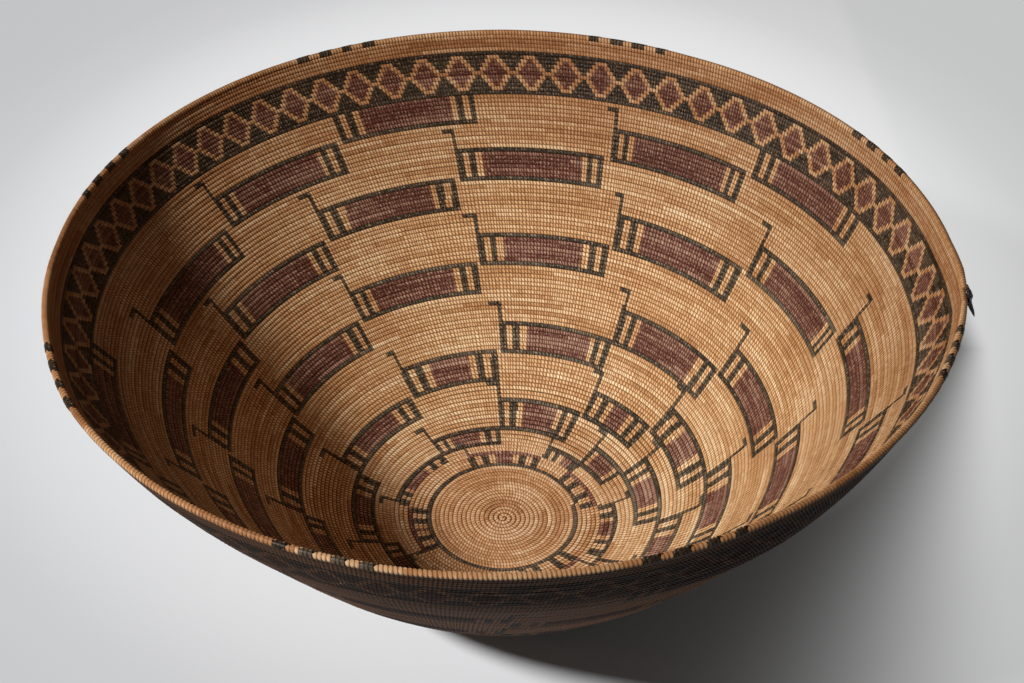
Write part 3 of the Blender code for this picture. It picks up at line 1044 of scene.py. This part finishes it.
def strap_shape(marks, closed_mesh, frame):
    """Add one strap of hide, swept through its listed places, to a mesh that is being built."""
    places = np.array([mark[0] for mark in marks])
    facing = np.array([mark[1] for mark in marks], float)
    sizes = np.array([mark[2:] for mark in marks])
    count = (len(marks) - 1) * STRAP_STEPS + 1
    at = np.linspace(0.0, len(marks) - 1.0, count)
    path = flowing(places, at)
    face = flowing(facing, at)
    size = flowing(sizes, at)
    ahead = np.gradient(path, axis=0)
    ahead /= np.linalg.norm(ahead, axis=1, keepdims=True)
    face -= ahead * (face * ahead).sum(axis=1, keepdims=True)
    face /= np.linalg.norm(face, axis=1, keepdims=True)
    across = np.cross(ahead, face)
    from_end = np.minimum(np.arange(count), np.arange(count)[::-1])
    rounding = np.sqrt(np.clip(from_end / STRAP_END_STEPS, 0.0, 1.0))
    rounding = STRAP_END_SHARE + (1.0 - STRAP_END_SHARE) * rounding
    angle = np.arange(STRAP_SIDES) / STRAP_SIDES * math.tau
    wide = np.sign(np.cos(angle)) * np.abs(np.cos(angle)) ** STRAP_ROUNDNESS[0]
    thick = np.sign(np.sin(angle)) * np.abs(np.sin(angle)) ** STRAP_ROUNDNESS[1]

    rings = []
    for i in range(count):
        ring = []
        for w, t in zip(wide, thick):
            half_width = size[i, 0] / 2 * rounding[i] * w
            half_thick = size[i, 1] / 2 * rounding[i] * t
            spot = Vector(path[i] + across[i] * half_width + face[i] * half_thick)
            spot += noise.noise_vector(spot * HIDE_UNEVEN_SCALE) * HIDE_UNEVENNESS
            ring.append(closed_mesh.verts.new(frame @ spot))
        rings.append(ring)
    for near, far in zip(rings, rings[1:]):
        for k in range(STRAP_SIDES):
            after = (k + 1) % STRAP_SIDES
            closed_mesh.faces.new((near[k], near[after], far[after], far[k]))
    closed_mesh.faces.new(rings[0][::-1])
    closed_mesh.faces.new(rings[-1])


def flowing(values, at):
    """Values read along a smooth line through the listed ones."""
    last = len(values) - 1
    whole = np.clip(np.floor(at).astype(int), 0, last - 1)
    share = (at - whole)[:, None]
    before, start = values[np.clip(whole - 1, 0, last)], values[whole]
    end, after = values[whole + 1], values[np.clip(whole + 2, 0, last)]
    leave, arrive = (end - before) / 2, (after - start) / 2
    curve = (2 * share ** 3 - 3 * share ** 2 + 1) * start + (share ** 3 - 2 * share ** 2 + share) * leave
    return curve + (3 * share ** 2 - 2 * share ** 3) * end + (share ** 3 - share ** 2) * arrive


def add_tie(hide):
    """The hide tie on the rim at the right: a knot threaded under the rim coil, a stub and a tail."""
    low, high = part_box("tie_knot")
    middle = (low + high) / 2
    outward = Vector((middle.x, middle.y, 0.0)).normalized()
    middle += outward * TIE_STANDS_OUT
    stub_low, stub_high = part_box("tie_stub")
    along = Vector((outward.y, -outward.x, 0.0))
    if along.dot((stub_low + stub_high) / 2 - middle) < 0.0:
        along = -along
    frame = Matrix.Translation(middle) @ Matrix((outward, along, Vector((0, 0, 1)))).transposed().to_4x4()
    pieces = (
        ("hide_knot", "tie_knot", KNOT_STRAPS),
        ("hide_stub", "tie_stub", (STUB_STRAP,)),
        ("hide_tail", "tie_tail", (TAIL_STRAP,)),
    )
    # Without a seed, Blender's noise vectors differ from run to run.
    noise.seed_set(SEED)
    for name, node, straps in pieces:
        shape = bmesh.new()
        for marks in straps:
            strap_shape(marks, shape, frame)
        bmesh.ops.recalc_face_normals(shape, faces=shape.faces)
        mesh = bpy.data.meshes.new(name)
        shape.to_mesh(mesh)
        shape.free()
        mesh.shade_smooth()
        mesh.materials.append(hide)
        piece = bpy.data.objects.new(name, mesh)
        bpy.context.scene.collection.objects.link(piece)
        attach(piece, "root")
        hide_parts(node)


def floor_material():
    """Pale floor with a painted pool of light around the basket, and a painted glow that fades its shadow
    with distance.
    """
    g = Graph("pale_floor")
    # Painted light: the tone that the floor shows, brightest around the basket.
    place = g.object_place()
    from_view = g.node("ShaderNodeVectorMath", Vector=place)
    from_view.operation = "SUBTRACT"
    from_view.inputs[1].default_value = (0.0, FLOOR_PALE_CENTRE_Y, 0.0)
    squeezed = g.node("ShaderNodeVectorMath")
    squeezed.operation = "DIVIDE"
    g.link(from_view.outputs[0], squeezed.inputs[0])
    squeezed.inputs[1].default_value = FLOOR_PALE_REACH
    painted_floor_tone = g.ramp(g.fit(g.length(squeezed.outputs[0]), 0.0, FLOOR_TONES_END, 0.0, 1.0), *FLOOR_TONES)
    # Painted light in the shadow: farther from the basket the floor glows, and its shadow fades.
    split = g.node("ShaderNodeSeparateXYZ", Vector=place)
    aside = g.math("SUBTRACT", SHADOW_FADE_PIVOT[0], split.outputs[0])
    below = g.math("SUBTRACT", SHADOW_FADE_PIVOT[1], split.outputs[1])
    below = g.math("MAXIMUM", below, SHADOW_FADE_NEAREST)
    away = g.math("SUBTRACT", g.math("DIVIDE", aside, below), SHADOW_FADE_FULL)
    away = g.math("DIVIDE", g.math("MAXIMUM", away, 0.0), SHADOW_FADE_SPREAD)
    rise = g.math("EXPONENT", g.math("MULTIPLY", g.math("MULTIPLY", away, away), -1.0))
    painted_shadow_glow = g.math("MULTIPLY", g.math("MULTIPLY", rise, SHADOW_FADE), painted_floor_tone)

    # The key's light on the floor is worked out here; the floor's colour undoes its falloff to show the
    # painted tone.
    to_lamp = g.node("ShaderNodeVectorMath")
    to_lamp.operation = "SUBTRACT"
    g.link(place, to_lamp.inputs[0])
    to_lamp.inputs[1].default_value = KEY_PLACE
    reach = g.length(to_lamp.outputs[0])
    lit = g.math("DIVIDE", KEY_POWER * KEY_PLACE[2] / math.pi ** 2, g.math("POWER", reach, 3.0))
    beyond = g.math("SUBTRACT", painted_floor_tone, g.math("MULTIPLY", lit, FLOOR_PALEST))
    painted_shadow_glow = g.math("MAXIMUM", painted_shadow_glow, beyond)
    own = g.math("DIVIDE", g.math("SUBTRACT", painted_floor_tone, painted_shadow_glow), lit)
    own = g.math("MINIMUM", g.math("MAXIMUM", own, FLOOR_DARKEST), FLOOR_PALEST)
    tinted = [g.math("MULTIPLY", own, share) for share in FLOOR_HUE]
    g.link(g.vector(*tinted), g.shader.inputs["Base Color"])
    g.shader.inputs["Roughness"].default_value = FLOOR_ROUGHNESS
    g.shader.inputs["Specular IOR Level"].default_value = 0.0
    # The glow is a little blue, a painted light that cools the floor's shade.
    painted_blue_glow = [g.math("ADD", painted_shadow_glow, added) for added in FLOOR_SHADE_PAINTED_BLUE]
    g.link(g.vector(*painted_blue_glow), g.shader.inputs["Emission Color"])
    path = g.tree.nodes.new("ShaderNodeLightPath")
    seen = g.math("MAXIMUM", path.outputs["Is Camera Ray"], path.outputs["Is Glossy Ray"])
    seen = g.math("MAXIMUM", seen, path.outputs["Is Transmission Ray"])
    g.link(seen, g.shader.inputs["Emission Strength"])
    return g.material


def add_floor():
    """The pale floor, with its painted tone and glow."""
    bpy.ops.mesh.primitive_plane_add(size=FLOOR_SIZE, location=(0.0, 0.0, 0.0))
    floor = bpy.context.object
    floor.name = "studio_floor"
    floor.data.materials.append(floor_material())


def add_camera():
    """The photograph's view: from the near side, looking down into the bowl."""
    data = bpy.data.cameras.new("camera")
    data.sensor_width = CAMERA_SENSOR
    data.lens = CAMERA_LENS
    camera = bpy.data.objects.new("camera", data)
    bpy.context.scene.collection.objects.link(camera)
    pitch, yaw, roll = CAMERA_TURN
    level_share = math.cos(pitch)
    forward = Vector((math.sin(yaw) * level_share, math.cos(yaw) * level_share, -math.sin(pitch)))
    level = Vector((math.cos(yaw), -math.sin(yaw), 0.0))
    upright = level.cross(forward)
    right = level * math.cos(roll) + upright * math.sin(roll)
    up = upright * math.cos(roll) - level * math.sin(roll)
    turned = Matrix((right, up, -forward)).transposed().to_4x4()
    camera.matrix_world = Matrix.Translation(CAMERA_PLACE) @ turned
    bpy.context.scene.camera = camera


def add_lamp(name, place, target, size, power, colour):
    data = bpy.data.lights.new(name, "AREA")
    data.shape = "DISK"
    data.size = size
    data.energy = power
    data.color = colour
    lamp = bpy.data.objects.new(name, data)
    bpy.context.scene.collection.objects.link(lamp)
    lamp.location = place
    lamp.rotation_euler = (Vector(target) - Vector(place)).to_track_quat("-Z", "Y").to_euler()


def add_light():
    """A soft key from the left, a little in front of the basket, and a faint warm fill."""
    add_lamp("key", KEY_PLACE, (0.0, 0.0, 0.0), KEY_SIZE, KEY_POWER, KEY_COLOUR)
    world = bpy.data.worlds.new("studio")
    world.use_nodes = True
    background = world.node_tree.nodes["Background"]
    background.inputs["Color"].default_value = (*WORLD_COLOUR, 1.0)
    background.inputs["Strength"].default_value = WORLD_STRENGTH
    bpy.context.scene.world = world


def build():
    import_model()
    bpy.context.scene.view_settings.view_transform = "Standard"
    add_camera()
    add_light()
    add_floor()
    materials = [tan_material(), black_material(), red_material()]
    add_coil(materials)
    add_tie(hide_material())


build()
